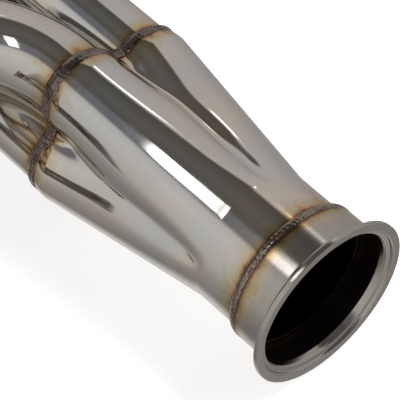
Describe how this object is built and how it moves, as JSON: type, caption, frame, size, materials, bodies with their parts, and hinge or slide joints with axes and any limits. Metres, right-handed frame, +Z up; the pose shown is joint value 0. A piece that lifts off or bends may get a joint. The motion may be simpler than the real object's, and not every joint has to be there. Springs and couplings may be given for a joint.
{
  "type": "exhaust manifold",
  "caption": "Tubular stainless exhaust manifold: a head flange, bent primaries and a formed merge collector that ends in a V-band outlet flange.",
  "frame": {"origin": "middle of the head flange's mating face, midway between the two inner ports", "axes": "-Y out of the head flange's mating face, +X along the row of ports and the collector axis towards the outlet, +Z up"},
  "size_m": [0.5453, 0.2823, 0.1176],
  "materials": {
    "polished_stainless": "polished",
    "machined_stainless": "fine turned",
    "satin_stainless": "satin milled",
    "heat_tinted_weld": "TIG weld with heat tint"
  },
  "bodies": {
    "root": {"head_flange": "satin_stainless", "primary_1_port_bend": "polished_stainless", "primary_1_crest_bend": "polished_stainless", "primary_1_collector_bend": "polished_stainless", "primary_2_port_run": "polished_stainless", "primary_2_collector_bend": "polished_stainless", "primary_3_port_run": "polished_stainless", "primary_3_collector_bend": "polished_stainless", "primary_4_port_run": "polished_stainless", "primary_4_elbow": "polished_stainless", "primary_4_collector_run": "polished_stainless", "primary_1_weld_port_side": "heat_tinted_weld", "primary_1_weld_collector_side": "heat_tinted_weld", "primary_2_weld_port_side": "heat_tinted_weld", "primary_3_weld_port_side": "heat_tinted_weld", "primary_4_weld_port_side": "heat_tinted_weld", "primary_4_weld_collector_side": "heat_tinted_weld", "port_weld_1": "heat_tinted_weld", "port_weld_2": "heat_tinted_weld", "port_weld_3": "heat_tinted_weld", "port_weld_4": "heat_tinted_weld", "collector_shell": "polished_stainless", "collector_mouth_weld": "heat_tinted_weld", "merge_spike": "polished_stainless", "vband_flange": "machined_stainless", "outlet_weld": "heat_tinted_weld"}
  },
  "joints": []
}
